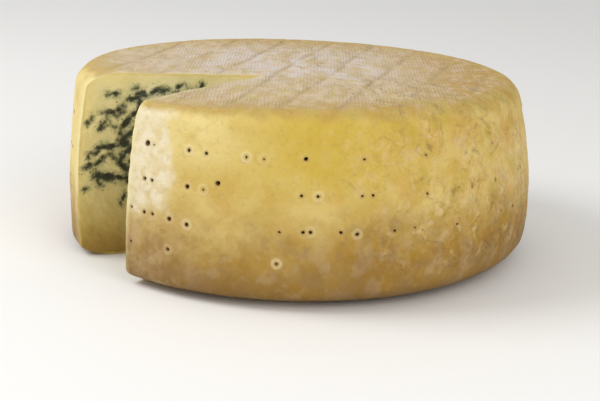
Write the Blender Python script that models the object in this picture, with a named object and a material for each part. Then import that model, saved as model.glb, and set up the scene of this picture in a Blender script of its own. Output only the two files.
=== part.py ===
"""A wheel of natural-rind blue cheese with one thin wedge cut out of it.

The wheel stands on its flat lower face. +Z is up, the origin is on the wheel's axis
at the base, and the gap that the wedge left opens towards -Y. Lengths are in metres.
Headings are in degrees round +Z from +X, so the gap lies at 270.
"""

import math
import random

import bmesh
import bpy
from mathutils import Matrix, Vector, noise

# The wheel
RADIUS = 0.145  # at the widest, half-way up
HEIGHT = 0.1095
TAPER = 0.0033  # how much wider the foot is than the top, from the wheel's own weight
BULGE = 0.0057  # how far both ends of the side draw in from the widest part
TOP_EDGE_WIDE = 0.0108  # the rounded upper rim, across and up
TOP_EDGE_HIGH = 0.0144
FOOT_EDGE_WIDE = 0.0320  # the rounded lower rim
FOOT_EDGE_HIGH = 0.0125
SECTIONS = 64

# The form is hand made: it leans and slumps to one side, and its top isn't quite level
LEAN_HEADING = 56.0
LEAN_SHIFT = 0.0053  # of the top against the base
LEAN_TAPER = 0.0042
LEAN_BULGE = 0.0025
LEAN_TOP_EDGE = 0.0037
LEAN_FOOT_EDGE = 0.0081
TILT_HEADING = 333.0
TILT = 0.030  # rise of the top for each metre towards that heading
UNEVEN = 0.0009
UNEVEN_SIZE = 0.045

# The gap that the wedge left
GAP_TIP = (0.0052, -0.0383)
GAP_ANGLE = 31.3
GAP_TIP_WIDTH = 0.0024
GAP_REACH = 0.135  # from the tip to past the rim
GRID = 0.0066  # spacing of the cut faces' crags
CRAG = 0.0009
CRAG_SIZE = 0.011

# Beside the gap the rim has settled: risen and softened on the left, sunk on the right
SETTLED_LEFT = 261.0
SETTLED_RIGHT = 283.0
SETTLED_SPREAD = 26.0
LEFT_RISE = 0.0031
LEFT_EDGE_WIDER = 0.0150
LEFT_EDGE_LOWER = 0.0064
RIGHT_SINK = 0.0035

# Hollows of the veins that lie open on the cut faces
HOLLOWS_PER_FACE = 9
HOLLOW_LONG = (0.0040, 0.0085)
HOLLOW_TALL = (0.0017, 0.0028)
HOLLOW_DEEP = 0.0024
HOLLOW_LOWEST = 0.042
HOLLOW_HIGHEST = 0.092

# Holes left by the piercing needles, right of the gap: height and heading of each
NEAR_HOLES = (
    (0.0845, 288.9),
    (0.0843, 290.7),
    (0.0845, 300.1),
    (0.0843, 304.5),
    (0.0843, 313.8),
    (0.0840, 317.8),
    (0.0650, 289.2),
    (0.0650, 291.3),
    (0.0650, 300.8),
    (0.0646, 304.7),
    (0.0690, 308.0),
    (0.0470, 285.6),
    (0.0460, 289.6),
    (0.0460, 292.1),
    (0.0455, 296.8),
    (0.0440, 301.3),
    (0.0270, 285.8),
    (0.0280, 296.8),
)
# The rest of the way round: columns of holes, in pairs in the upper rows and with a single
# one beside them in the lower rows
ROW_HEIGHTS = (0.0847, 0.0653, 0.0456, 0.0278)
PAIRED_ROWS = (True, True, True, False)
SINGLE_ROWS = (False, False, True, True)
FIRST_COLUMN = 328.5
COLUMN_PITCH = 12.857
COLUMNS = 23
PAIR_SPREAD = (1.9, 4.2)
SINGLE_OFFSET = -5.6
LAST_HEADING = 258.5  # where the gap's other side begins
HEALED = 0.24  # share of the holes that have closed
HEALED_WRINKLED = 0.62
HOLE_RADIUS = 0.0012
HOLE_DEPTH = 0.0040
HOLE_SIDES = 5

# Lattice pressed into the top by the draining mat
GROOVE_PITCH = 0.031
GROOVE_HALF_WIDTH = 0.0021
GROOVE_DEPTH = 0.0009
GROOVE_ABOVE = 0.0022  # how far a groove's cutter stands above the top
GROOVE_STEP = 0.022
GROOVE_HEADINGS = (132.0, 78.0)

MARGIN = 0.02  # how far a cutter runs past what it cuts


def clear_scene():
    for obj in list(bpy.data.objects):
        bpy.data.objects.remove(obj, do_unlink=True)


def new_collection(name, parent):
    collection = bpy.data.collections.new(name)
    parent.children.link(collection)
    return collection


def make_material(name, colour, roughness):
    material = bpy.data.materials.new(name)
    material.use_nodes = True
    shader = material.node_tree.nodes["Principled BSDF"]
    shader.inputs["Base Color"].default_value = (*colour, 1.0)
    shader.inputs["Roughness"].default_value = roughness
    shader.inputs["Metallic"].default_value = 0.0
    return material


def heading_vector(heading):
    turn = math.radians(heading)
    return Vector((math.cos(turn), math.sin(turn), 0.0))


def away_from(heading, centre):
    """Degrees from one heading to another, between -180 and 180."""
    return (heading - centre + 180.0) % 360.0 - 180.0


def settled(heading):
    """How far a heading shares in what happened to the left and to the right of the gap, each from 0 to 1."""
    right_share = 0.5 + 0.5 * math.tanh(away_from(heading, 272.0) / 5.0)
    left = math.exp(-((away_from(heading, SETTLED_LEFT) / SETTLED_SPREAD) ** 2))
    right = math.exp(-((away_from(heading, SETTLED_RIGHT) / SETTLED_SPREAD) ** 2))
    return left * (1.0 - right_share), right * right_share


class Section:
    """The wheel's outline at one heading."""

    def __init__(self, heading):
        toward = math.cos(math.radians(heading - LEAN_HEADING))
        left, right = settled(heading)
        self.taper = TAPER + LEAN_TAPER * toward
        self.bulge = BULGE + LEAN_BULGE * toward
        self.top_wide = TOP_EDGE_WIDE + LEAN_TOP_EDGE * toward + LEFT_EDGE_WIDER * left
        self.top_high = TOP_EDGE_HIGH + 0.5 * LEAN_TOP_EDGE * toward - LEFT_EDGE_LOWER * left
        self.foot_wide = FOOT_EDGE_WIDE + LEAN_FOOT_EDGE * toward
        self.foot_high = FOOT_EDGE_HIGH + 0.5 * LEAN_FOOT_EDGE * toward
        self.rise = LEFT_RISE * left - RIGHT_SINK * right
        self.wall_top = HEIGHT - self.top_high
        self.flat = self.wall(self.wall_top) - self.top_wide
        self.base = self.wall(self.foot_high) - self.foot_wide

    def wall(self, height):
        along = 2.0 * height / HEIGHT - 1.0
        return RADIUS - self.taper * along - self.bulge * along * along

    def point(self, zone, share):
        """(radius, height) of a point of the outline, where share runs from 0 to 1 down each zone."""
        if zone == "top":
            return self.flat * share, HEIGHT + self.rise * share * share
        if zone == "upper rim":
            turn = math.radians(90.0 * (1.0 - share))
            lift = (self.top_high + self.rise) * math.sin(turn)
            return self.flat + self.top_wide * math.cos(turn), self.wall_top + lift
        if zone == "side":
            height = self.wall_top + (self.foot_high - self.wall_top) * share
            return self.wall(height), height
        if zone == "lower rim":
            turn = math.radians(90.0 * share)
            radius = self.base + self.foot_wide * math.cos(turn)
            return radius, self.foot_high * (1.0 - math.sin(turn))
        return self.base * (1.0 - share), 0.0


def outline_places():
    """(zone, share) of each point of an outline, from the rim of the top's middle to that of the base's."""
    places = [("top", share) for share in (0.3, 0.62, 0.84, 1.0)]
    places += [("upper rim", step / 5.0) for step in range(1, 6)]
    places += [("side", step / 7.0) for step in range(1, 8)]
    places += [("lower rim", step / 5.0) for step in range(1, 6)]
    places.append(("base", 0.5))
    return places


def leaned(place):
    """A point of the upright wheel, moved by the lean and by the tilt of the top, with the base left flat."""
    up = place.z / HEIGHT
    moved = place + heading_vector(LEAN_HEADING) * (LEAN_SHIFT * up)
    moved.z += up * TILT * moved.dot(heading_vector(TILT_HEADING))
    return moved


def wheel_point(section, direction, zone, share):
    radius, height = section.point(zone, share)
    place = leaned(direction * radius + Vector((0.0, 0.0, height)))
    if zone == "base" or height < 1e-6:
        return place
    ripple = UNEVEN * noise.noise(place / UNEVEN_SIZE)
    outward = Vector((0.0, 0.0, 0.7)) if zone == "top" else direction
    return place + outward * ripple * min(1.0, height / 0.01)


def lofted_wheel(name, collection):
    """The wheel as a loft through sections that differ from heading to heading."""
    shape = bmesh.new()
    places = outline_places()
    rings = []
    for index in range(SECTIONS):
        heading = 360.0 * index / SECTIONS
        section = Section(heading)
        direction = heading_vector(heading)
        points = [wheel_point(section, direction, zone, share) for zone, share in places]
        rings.append([shape.verts.new(point) for point in points])
    middle_top = shape.verts.new(leaned(Vector((0.0, 0.0, HEIGHT))))
    middle_base = shape.verts.new((0.0, 0.0, 0.0))
    for index, ring in enumerate(rings):
        after = rings[(index + 1) % SECTIONS]
        shape.faces.new((middle_top, ring[0], after[0]))
        shape.faces.new((middle_base, after[-1], ring[-1]))
        for row in range(len(places) - 1):
            shape.faces.new((ring[row], ring[row + 1], after[row + 1], after[row]))
    mesh = bpy.data.meshes.new(name)
    shape.to_mesh(mesh)
    shape.free()
    wheel = bpy.data.objects.new(name, mesh)
    collection.objects.link(wheel)
    return wheel


def top_height(x, y):
    """Height of the top's flat part over a point, without its ripple."""
    heading = math.degrees(math.atan2(y, x))
    section = Section(heading)
    share = math.hypot(x, y) / section.flat
    upright = Vector((x, y, HEIGHT + section.rise * share * share))
    return leaned(upright).z


def gap_half_width(from_tip):
    return GAP_TIP_WIDTH / 2.0 + math.tan(math.radians(GAP_ANGLE / 2.0)) * from_tip


def crag(place, from_tip):
    """How far the crumbly cut face stands in or out at a place, fading towards the tip."""
    fade = min(1.0, from_tip / 0.03)
    coarse = noise.noise(place / CRAG_SIZE)
    fine = noise.noise(place / (0.4 * CRAG_SIZE))
    return CRAG * fade * (coarse + 0.5 * fine)


def gap_cutter(collection):
    """The wedge that was taken out: a box squeezed to a narrow tip, its two long sides crumbly."""
    shape = bmesh.new()
    bmesh.ops.create_cube(shape, size=1.0)
    height = HEIGHT + 2.0 * MARGIN
    along_cuts = int(GAP_REACH / GRID)
    height_cuts = int(height / GRID)
    for axis, cuts in ((Vector((0, 1, 0)), along_cuts), (Vector((0, 0, 1)), height_cuts)):
        for cut_index in range(1, cuts):
            everything = shape.verts[:] + shape.edges[:] + shape.faces[:]
            through = axis * (cut_index / cuts - 0.5)
            bmesh.ops.bisect_plane(shape, geom=everything, plane_co=through, plane_no=axis)
    for vertex in shape.verts:
        from_tip = (0.5 - vertex.co.y) * GAP_REACH
        side = math.copysign(1.0, vertex.co.x)
        level = (vertex.co.z + 0.5) * height - MARGIN
        seat = Vector((side * gap_half_width(from_tip), -from_tip, level))
        seat.x += side * crag(seat, from_tip)
        seat += Vector((*GAP_TIP, 0.0))
        vertex.co = seat + heading_vector(LEAN_HEADING) * (LEAN_SHIFT * level / HEIGHT)
    bmesh.ops.recalc_face_normals(shape, faces=shape.faces[:])
    mesh = bpy.data.meshes.new("gap_cutter")
    shape.to_mesh(mesh)
    shape.free()
    collection.objects.link(bpy.data.objects.new("gap_cutter", mesh))


def hollow_cutters(collection):
    """Flattened balls set half into both cut faces, where the veins lie open."""
    draw = random.Random(11)
    slope = math.radians(GAP_ANGLE / 2.0)
    length = RADIUS + GAP_TIP[1]
    for side in (-1.0, 1.0):
        for index in range(HOLLOWS_PER_FACE):
            along = (index + 0.6 * draw.random()) / HOLLOWS_PER_FACE
            from_tip = length * (0.2 + 0.68 * along)
            up = ((index * 5 + 2) % HOLLOWS_PER_FACE) / (HOLLOWS_PER_FACE - 1.0)
            level = HOLLOW_LOWEST + (HOLLOW_HIGHEST - HOLLOW_LOWEST) * up
            size = (draw.uniform(*HOLLOW_LONG), HOLLOW_DEEP, draw.uniform(*HOLLOW_TALL))
            bpy.ops.mesh.primitive_ico_sphere_add(subdivisions=1, radius=1.0)
            ball = bpy.context.active_object
            ball.name = f"hollow_cutter_{'left' if side < 0 else 'right'}_{index}"
            ball.data.transform(Matrix.Diagonal((*size, 1.0)))
            seat = Vector((side * gap_half_width(from_tip), -from_tip, level))
            seat += Vector((*GAP_TIP, 0.0))
            ball.location = seat + heading_vector(LEAN_HEADING) * (LEAN_SHIFT * level / HEIGHT)
            heading = side * (math.pi / 2.0 - slope)
            ball.rotation_euler = (0.0, draw.uniform(-0.35, 0.35), heading)
            move_to(ball, collection)


def wrinkled(heading):
    """Where the side is wrinkled and more of the holes have closed, from 0 to 1."""
    near = math.exp(-((away_from(heading, 12.0) / 34.0) ** 4))
    far = 0.8 * math.exp(-((away_from(heading, 150.0) / 42.0) ** 4))
    return max(near, far)


def needle_holes():
    """(height, heading) of each needle hole that is open."""
    draw = random.Random(5)
    holes = list(NEAR_HOLES)
    for row, level in enumerate(ROW_HEIGHTS):
        for column in range(COLUMNS):
            middle = FIRST_COLUMN + COLUMN_PITCH * column
            spread = draw.uniform(*PAIR_SPREAD)
            offsets = []
            if PAIRED_ROWS[row]:
                offsets += [-spread / 2.0, spread / 2.0]
            if SINGLE_ROWS[row]:
                offsets.append(SINGLE_OFFSET)
            for offset in offsets:
                heading = middle + offset + draw.uniform(-0.4, 0.4)
                lift = draw.uniform(-0.0009, 0.0009)
                healed = HEALED_WRINKLED if wrinkled(heading) > 0.5 else HEALED
                if draw.random() > healed and heading < 360.0 + LAST_HEADING:
                    holes.append((level + lift, heading))
    return holes


def hole_cutters(collection):
    """Blunt cones that point at the wheel's axis."""
    reach = HOLE_DEPTH + 0.006
    for index, (level, heading) in enumerate(needle_holes()):
        out = heading_vector(heading)
        bpy.ops.mesh.primitive_cone_add(
            vertices=HOLE_SIDES,
            radius1=HOLE_RADIUS * 0.7,
            radius2=HOLE_RADIUS * 1.3,
            depth=reach,
        )
        cone = bpy.context.active_object
        cone.name = f"hole_cutter_{index:03d}"
        cone.rotation_euler = out.to_track_quat("Z", "Y").to_euler()
        mouth = leaned(out * Section(heading).wall(level) + Vector((0.0, 0.0, level)))
        cone.location = mouth + out * (reach / 2.0 - HOLE_DEPTH)
        move_to(cone, collection)


def groove_cutters(collection, heading):
    """Thin three-sided bars that follow the top, one edge down, all along one heading."""
    along = heading_vector(heading)
    across = heading_vector(heading + 90.0)
    reach = RADIUS - 0.027
    count = int(reach / GROOVE_PITCH)
    wide = GROOVE_HALF_WIDTH * (1.0 + GROOVE_ABOVE / GROOVE_DEPTH)
    edges = ((-wide, GROOVE_ABOVE), (wide, GROOVE_ABOVE), (0.0, -GROOVE_DEPTH))
    for index in range(-count, count + 1):
        offset = (index + 0.3) * GROOVE_PITCH
        if abs(offset) > reach - 0.02:
            continue
        half = math.sqrt(reach * reach - offset * offset)
        steps = max(2, round(2.0 * half / GROOVE_STEP))
        shape = bmesh.new()
        rings = []
        for step in range(steps + 1):
            middle = across * offset + along * half * (2.0 * step / steps - 1.0)
            ring = []
            for side, up in edges:
                point = middle + across * side
                point.z = top_height(middle.x, middle.y) + up
                ring.append(shape.verts.new(point))
            rings.append(ring)
        for ring, after in zip(rings, rings[1:]):
            for corner in range(3):
                beside = (corner + 1) % 3
                shape.faces.new((ring[corner], ring[beside], after[beside], after[corner]))
        shape.faces.new(rings[0])
        shape.faces.new(rings[-1])
        bmesh.ops.recalc_face_normals(shape, faces=shape.faces[:])
        name = f"groove_cutter_{int(heading)}_{index + count}"
        mesh = bpy.data.meshes.new(name)
        shape.to_mesh(mesh)
        shape.free()
        collection.objects.link(bpy.data.objects.new(name, mesh))


def move_to(obj, collection):
    for owner in list(obj.users_collection):
        owner.objects.unlink(obj)
    collection.objects.link(obj)


def cut(obj, name, collection):
    """Takes every cutter of a collection away from the object."""
    modifier = obj.modifiers.new(name, "BOOLEAN")
    modifier.operation = "DIFFERENCE"
    modifier.operand_type = "COLLECTION"
    modifier.collection = collection
    modifier.solver = "MANIFOLD"
    for cutter in collection.objects:
        cutter.hide_render = True
        cutter.display_type = "WIRE"


def main():
    clear_scene()
    root = bpy.context.scene.collection
    cheese = new_collection("blue_cheese", root)
    cutters = new_collection("cutters", root)

    wheel = lofted_wheel("cheese_wheel", cheese)
    wheel.data.materials.append(make_material("rind", (0.62, 0.46, 0.20), 0.75))

    makers = [("gap", gap_cutter), ("hollow", hollow_cutters), ("hole", hole_cutters)]
    for name, maker in makers:
        group = new_collection(name + "_cutters", cutters)
        maker(group)
        cut(wheel, name, group)
    for heading in GROOVE_HEADINGS:
        group = new_collection(f"groove_{int(heading)}_cutters", cutters)
        groove_cutters(group, heading)
        cut(wheel, f"grooves_{int(heading)}", group)

    wheel.data.shade_smooth()
    wheel.data.set_sharp_from_angle(angle=math.radians(35.0))


main()
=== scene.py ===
import math
import random

import bmesh
import bpy
import numpy as np
from mathutils import Matrix, Vector, noise


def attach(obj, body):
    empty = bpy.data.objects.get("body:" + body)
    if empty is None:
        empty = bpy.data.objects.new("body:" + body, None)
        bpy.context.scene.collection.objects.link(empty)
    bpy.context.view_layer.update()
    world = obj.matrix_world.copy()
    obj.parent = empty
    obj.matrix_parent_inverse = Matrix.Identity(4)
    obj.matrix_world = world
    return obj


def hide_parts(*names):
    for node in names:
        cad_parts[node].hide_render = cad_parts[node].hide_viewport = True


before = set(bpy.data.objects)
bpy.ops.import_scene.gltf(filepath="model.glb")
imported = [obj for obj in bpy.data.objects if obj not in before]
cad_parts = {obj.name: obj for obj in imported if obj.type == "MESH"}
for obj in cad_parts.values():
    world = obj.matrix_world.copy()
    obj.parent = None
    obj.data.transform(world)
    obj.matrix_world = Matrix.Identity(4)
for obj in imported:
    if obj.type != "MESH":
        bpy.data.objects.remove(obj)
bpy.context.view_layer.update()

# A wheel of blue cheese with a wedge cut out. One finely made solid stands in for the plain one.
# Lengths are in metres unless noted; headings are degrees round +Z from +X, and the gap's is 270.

# The wheel's form
RADIUS = 0.145
HEIGHT = 0.1095
TAPER = 0.0033
BULGE = 0.0057
TOP_EDGE_WIDE = 0.0108
TOP_EDGE_HIGH = 0.0144
RIM_LEAN = 0.08  # the rounded rim starts out with about half of the side's slope
FOOT_EDGE_WIDE = 0.0320
FOOT_EDGE_HIGH = 0.0125
LEAN_HEADING = 56.0
LEAN_SHIFT = 0.0053
LEAN_TAPER = 0.0042
LEAN_BULGE = 0.0025
LEAN_TOP_EDGE = 0.0037
LEAN_FOOT_EDGE = 0.0081
TILT_HEADING = 333.0
TILT = 0.030
UNEVEN = 0.0009
UNEVEN_SIZE = 0.045
SECTIONS = 432

# The gap
GAP_TIP = (0.0052, -0.0383)
GAP_ANGLE = 31.3
GAP_TIP_WIDTH = 0.0024
GAP_REACH = 0.135
GAP_GRID = 0.0010
TIP_FADE = 0.0040
CRAG = 0.0009
CRAG_SIZE = 0.011
FACE_LENGTH = 0.1067  # from the tip to the rim, half-way up
MARGIN = 0.008
SETTLED_LEFT = 261.0
SETTLED_RIGHT = 283.0
SETTLED_SPREAD = 26.0
SETTLED_BORDER = 272.0
SETTLED_BLEND = 5.0
LEFT_RISE = 0.0031
LEFT_EDGE_WIDER = 0.0150
LEFT_EDGE_LOWER = 0.0064
RIGHT_SINK = 0.0035

# Needle holes right of the gap: height in millimetres, heading, how open each is, and how
# much of a pale ring it has
SEEN_HOLES = (
    (84.5, 288.9, 1.35, 0.2), (84.3, 290.7, 0.45, 0.0), (84.5, 300.1, 0.80, 1.0),
    (84.3, 304.5, 0.75, 0.1), (84.3, 313.8, 0.60, 0.8), (84.0, 317.8, 0.50, 0.3),
    (65.0, 289.2, 0.85, 0.1), (65.0, 291.3, 0.85, 0.1), (65.0, 300.8, 0.95, 0.3),
    (64.6, 304.7, 0.55, 0.5), (69.0, 308.0, 1.10, 0.0), (47.0, 285.6, 0.70, 0.2),
    (46.0, 289.6, 0.80, 0.3), (46.0, 292.1, 0.75, 0.3), (45.5, 296.8, 1.00, 0.4),
    (44.0, 301.3, 0.85, 0.8), (27.0, 285.8, 0.65, 0.0), (28.0, 296.8, 0.75, 0.4),
)
# The rest of the way round: rows by height, and whether their columns have a pair of holes and
# whether they have a single one
ROWS = ((0.0847, True, False), (0.0653, True, False), (0.0456, True, True), (0.0278, False, True))
FIRST_COLUMN = 328.5
COLUMN_PITCH = 12.857
COLUMNS = 23
PAIR_SPREAD = (1.9, 4.2)
SINGLE_OFFSET = -5.6
LAST_HEADING = 258.5
HEALED = 0.24
HEALED_WRINKLED = 0.62
HOLE_RADIUS = 0.0012
HOLE_DEPTH = 0.0040
HOLE_SIDES = 10
# Rings of a needle hole's cone: how far outside the side, and how wide
HOLE_RINGS = ((0.004, 1.15), (0.0006, 1.15), (-0.0005, 0.95), (-HOLE_DEPTH, 0.6))

# Families of lines on the top: heading, pitch, how far they are shifted, and depth
LATTICE = ((132.0, 0.031, 0.3, 0.0007), (78.0, 0.031, 0.3, 0.0005))
LATTICE_HALF_WIDTH = 0.0024
TOP_BORDER = 0.46  # how far down the upper rim's arc the top's rind reaches

# Parts of the side: strength, heading and half width in degrees, and two levels in
# millimetres. Those are a mould patch's middle and half height, the levels between which a
# golden part sets in going up, and those between which a rosy part fades.
MOULD_PATCHES = (
    (0.25, 27.0, 11.0, 62.0, 30.0),
    (0.55, 226.0, 9.0, 66.0, 26.0),
    (0.60, 92.0, 13.0, 58.0, 30.0),
)
GOLDEN_PARTS = (
    (1.0, 333.0, 24.0, 50.0, 84.0),
    (0.7, 115.0, 40.0, 50.0, 90.0),
    (0.7, 203.0, 26.0, 40.0, 80.0),
)
ROSY_PARTS = (
    (1.0, 290.5, 11.0, 26.0, 62.0),
    (0.5, 190.0, 60.0, 12.0, 50.0),
)

# The cut faces
HOLLOW_DEPTH = 0.0011
HOLLOW_AT_EDGE = 0.25  # share of its depth that a vein's hollow has at the vein's edge
HOLLOW_SLOPE = 1.4
LEFT_OUT = 0.15  # share of the strokes that the right face doesn't have
FACE_NEAR = 0.0060
FACE_DEPTH = 0.0055
RIGHT_EDGE_NARROWER = 2.8
FAR = 99.0  # millimetres, for what is too far away to measure
BLOCK = 4000  # faces whose nearest needle hole is looked up at once
SHARP_ANGLE = 50.0

# Lights, camera and floor
LIT_PLACE = (0.0, 0.0, 0.05)
LIGHTS = (  # name, place, size and power
    ("key", (-0.50, -0.90, 1.05), 0.8, 10.0),
    ("fill", (1.20, -0.10, 0.75), 1.0, 6.3),
)
SKY_STRENGTH = 0.60
FLOOR_REACH = 6
SENSOR_WIDTH = 36.0
LENS = 94.11
CAMERA_PLACE = (0.80703, -0.53607, 0.30143)
CAMERA_RIGHT = (0.547123, 0.836185, 0.038107)
CAMERA_UP = (-0.250295, 0.119988, 0.960706)

# Veins of the left cut face, drawn on a slanted sketch of it. The sketch's corner is the
# tip's upper end; one side runs from there to the rim and the other down to the base.
SKETCH_CORNER = (33.0, 413.0)
SKETCH_TO_RIM = (1050.0, -356.0)
SKETCH_TO_BASE = (489.0, 865.0)
# A stroke is its half width in millimetres and then x, y of each of its points.
VEINS = (
    (0.7, 340, 970, 400, 942, 480, 905, 520, 870), (1.3, 520, 870, 580, 842, 640, 836, 700, 800),
    (1.8, 700, 800, 770, 768, 835, 752),
    (1.3, 835, 752, 880, 716, 910, 702, 960, 690, 1020, 665, 1060, 642),
    (1.6, 1060, 642, 1110, 622, 1150, 608), (2.3, 1150, 604, 1200, 582, 1245, 582, 1262, 612),
    (1.0, 880, 702, 905, 656, 928, 672), (0.9, 640, 838, 700, 822, 760, 800),
    (0.6, 228, 790, 270, 760, 330, 748), (0.9, 330, 748, 370, 738, 420, 702, 480, 672, 540, 648),
    (1.3, 540, 648, 600, 626, 650, 606, 700, 598),
    (0.9, 700, 598, 760, 584, 820, 562, 870, 530, 905, 505), (0.6, 560, 664, 640, 640, 720, 606),
    (0.7, 615, 628, 640, 668, 700, 666, 748, 650), (0.6, 215, 735, 262, 722),
    (0.7, 245, 776, 320, 758, 400, 746, 440, 740), (0.6, 238, 802, 292, 790),
    (0.8, 362, 788, 410, 766, 462, 745), (1.5, 386, 336, 400, 362, 398, 384),
    (2.0, 398, 372, 425, 366), (3.0, 350, 452, 385, 446, 418, 458), (1.2, 385, 470, 395, 502),
    (0.6, 300, 462, 300, 470), (3.0, 440, 545, 478, 560, 505, 566), (1.6, 430, 542, 462, 552),
    (1.4, 470, 580, 488, 592), (0.9, 470, 500, 490, 475, 560, 452), (1.3, 510, 470, 556, 455),
    (0.7, 188, 514, 240, 516, 246, 528), (0.8, 84, 522, 124, 498),
    (0.4, 238, 600, 300, 626, 350, 602, 425, 632), (0.5, 262, 572, 306, 560),
    (0.5, 340, 650, 366, 676), (0.5, 168, 628, 174, 634), (0.6, 290, 600, 310, 640),
    (0.6, 474, 324, 500, 298, 524, 292), (0.5, 548, 322, 552, 326), (0.5, 574, 320, 578, 326),
    (1.5, 625, 282, 665, 266, 696, 264), (0.6, 604, 288, 625, 284), (2.3, 668, 372, 690, 382),
    (0.9, 640, 392, 676, 346, 700, 372, 742, 366),
    (0.7, 742, 366, 784, 346, 796, 312, 776, 302, 764, 322), (0.8, 678, 446, 720, 432, 764, 422),
    (0.6, 700, 405, 715, 442), (1.3, 628, 520, 648, 502), (0.9, 592, 578, 618, 566),
    (0.9, 796, 212, 840, 190, 868, 178), (0.6, 868, 178, 888, 152),
    (1.1, 818, 222, 858, 230, 858, 258), (0.6, 858, 262, 862, 292), (1.3, 888, 294, 920, 306),
    (1.3, 950, 332, 1008, 364), (0.5, 1008, 364, 1042, 402, 1064, 434), (0.6, 868, 366, 878, 422),
    (0.8, 948, 262, 984, 268, 1014, 246), (0.5, 938, 246, 962, 238, 984, 254),
    (0.6, 944, 158, 984, 150, 1030, 156), (0.4, 930, 178, 938, 184), (1.1, 1080, 288, 1102, 304),
    (0.4, 1128, 234, 1172, 266), (1.0, 988, 412, 1012, 420), (0.9, 1064, 440, 1106, 420, 1148, 414),
    (1.0, 1148, 414, 1190, 438), (0.6, 1120, 446, 1150, 432), (0.5, 1146, 474, 1186, 480),
    (1.2, 1242, 430, 1262, 470, 1252, 506), (0.6, 1262, 476, 1292, 502),
    (0.5, 748, 532, 790, 520, 842, 506, 872, 482, 850, 458, 800, 464),
    (0.8, 872, 490, 918, 478, 960, 470), (0.7, 918, 502, 950, 548, 984, 520, 960, 486, 925, 500),
    (0.6, 980, 545, 955, 572), (2.4, 1028, 500, 1052, 520, 1080, 536), (1.2, 1005, 552, 1040, 540),
    (0.7, 1010, 552, 1070, 572, 1098, 604), (0.8, 694, 704, 714, 700), (0.4, 818, 680, 822, 684),
    (0.6, 558, 754, 572, 744), (0.5, 506, 706, 512, 724), (0.6, 456, 796, 464, 796),
    (0.5, 484, 798, 488, 804), (0.5, 560, 700, 622, 722),
    (0.9, 392, 828, 430, 862, 412, 898, 432, 930), (0.9, 354, 908, 366, 892),
    (0.8, 278, 906, 298, 914), (0.7, 498, 916, 530, 926, 560, 914), (0.6, 530, 926, 544, 944),
    (1.6, 556, 1052, 600, 1036, 622, 1004, 642, 972), (2.2, 604, 1020, 622, 1008),
    (0.9, 600, 1052, 640, 1036, 668, 1020), (0.4, 722, 906, 728, 914), (0.4, 690, 948, 694, 964),
    (0.9, 812, 1004, 806, 984, 832, 966), (0.8, 832, 966, 900, 942, 944, 914, 966, 906),
    (0.5, 944, 914, 938, 946), (1.1, 950, 880, 1004, 866, 1060, 866),
    (0.9, 992, 832, 1036, 808, 1050, 846), (0.6, 372, 1000, 388, 1024), (0.5, 100, 560, 120, 566),
    (0.5, 140, 640, 150, 660), (0.5, 640, 1066, 676, 1060),
)
# Brown and olive slits
SLITS = (
    (1.1, 452, 990, 470, 1012), (0.4, 470, 1030, 486, 1062), (0.8, 762, 1094, 782, 1136),
    (0.6, 676, 1062, 684, 1098), (0.9, 1180, 836, 1210, 852), (0.4, 1160, 742, 1232, 790),
    (0.4, 1262, 914, 1300, 928, 1330, 922), (0.6, 596, 572, 612, 568), (0.4, 890, 1050, 894, 1060),
    (0.4, 594, 1236, 598, 1242), (0.5, 892, 112, 908, 116), (0.5, 1066, 66, 1080, 74),
    (0.4, 1312, 606, 1334, 622),
)

# Veins of the left cut face's outer part, beyond NEAR_RIM. Here x and y are millimetres from
# the tip and below the top.
NEAR_RIM = 66.0
RIM_VEINS = (
    (0.9, 89, 9, 85, 8), (1.0, 75, 6, 74, 6), (1.1, 73, 9, 68, 8), (1.1, 76, 12, 71, 11, 71, 14),
    (0.9, 68, 10, 67, 11), (1.2, 89, 20, 85, 20), (1.1, 83, 19, 81, 16), (0.4, 92, 20, 89, 20),
    (0.6, 83, 22, 80, 20), (0.9, 93, 29, 90, 25), (0.6, 100, 27, 99, 25), (0.4, 98, 22, 98, 24),
    (1.4, 70, 17, 74, 22, 76, 25, 79, 30, 81, 34), (0.7, 81, 34, 82, 37),
    (1.3, 70, 29, 76, 34, 79, 36, 80, 39), (1.3, 90, 41, 86, 41, 82, 41, 76, 40),
    (0.9, 90, 41, 93, 42, 94, 45, 96, 46), (1.6, 73, 41, 76, 44, 78, 47, 79, 49),
    (0.6, 99, 47, 99, 48), (0.8, 91, 47, 90, 48), (0.4, 94, 52, 91, 48),
    (1.0, 101, 55, 99, 53, 98, 52), (1.4, 78, 48, 80, 51, 78, 54, 75, 56),
    (1.9, 94, 59, 88, 60, 83, 60, 77, 61, 69, 62), (1.3, 93, 61, 91, 65), (0.6, 100, 67, 99, 67),
    (0.8, 77, 75, 76, 72), (0.4, 78, 78, 78, 76), (1.0, 70, 52, 74, 50), (0.8, 69, 36, 72, 38),
    (0.6, 86, 46, 83, 49), (0.5, 84, 30, 86, 28),
)


def heading_vector(heading):
    turn = math.radians(heading)
    return Vector((math.cos(turn), math.sin(turn), 0.0))


def away_from(heading, centre):
    """Degrees from one heading to another, between -180 and 180."""
    return (heading - centre + 180.0) % 360.0 - 180.0


def step(low, high, value):
    """0 below low, 1 above high, and a smooth rise between."""
    share = min(1.0, max(0.0, (value - low) / (high - low)))
    return share * share * (3.0 - 2.0 * share)


def bell(value, centre, reach, power=2):
    """1 at the centre, falling off to either side."""
    return math.exp(-(abs((value - centre) / reach) ** power))


def bell_round(heading, centre, reach, power=2):
    return bell(away_from(heading, centre), 0.0, reach, power)


def settled(heading):
    """How far the rim beside the gap has settled: (on the left, on the right)."""
    right_share = 0.5 + 0.5 * math.tanh(away_from(heading, SETTLED_BORDER) / SETTLED_BLEND)
    left = bell_round(heading, SETTLED_LEFT, SETTLED_SPREAD)
    right = bell_round(heading, SETTLED_RIGHT, SETTLED_SPREAD)
    return left * (1.0 - right_share), right * right_share


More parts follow.
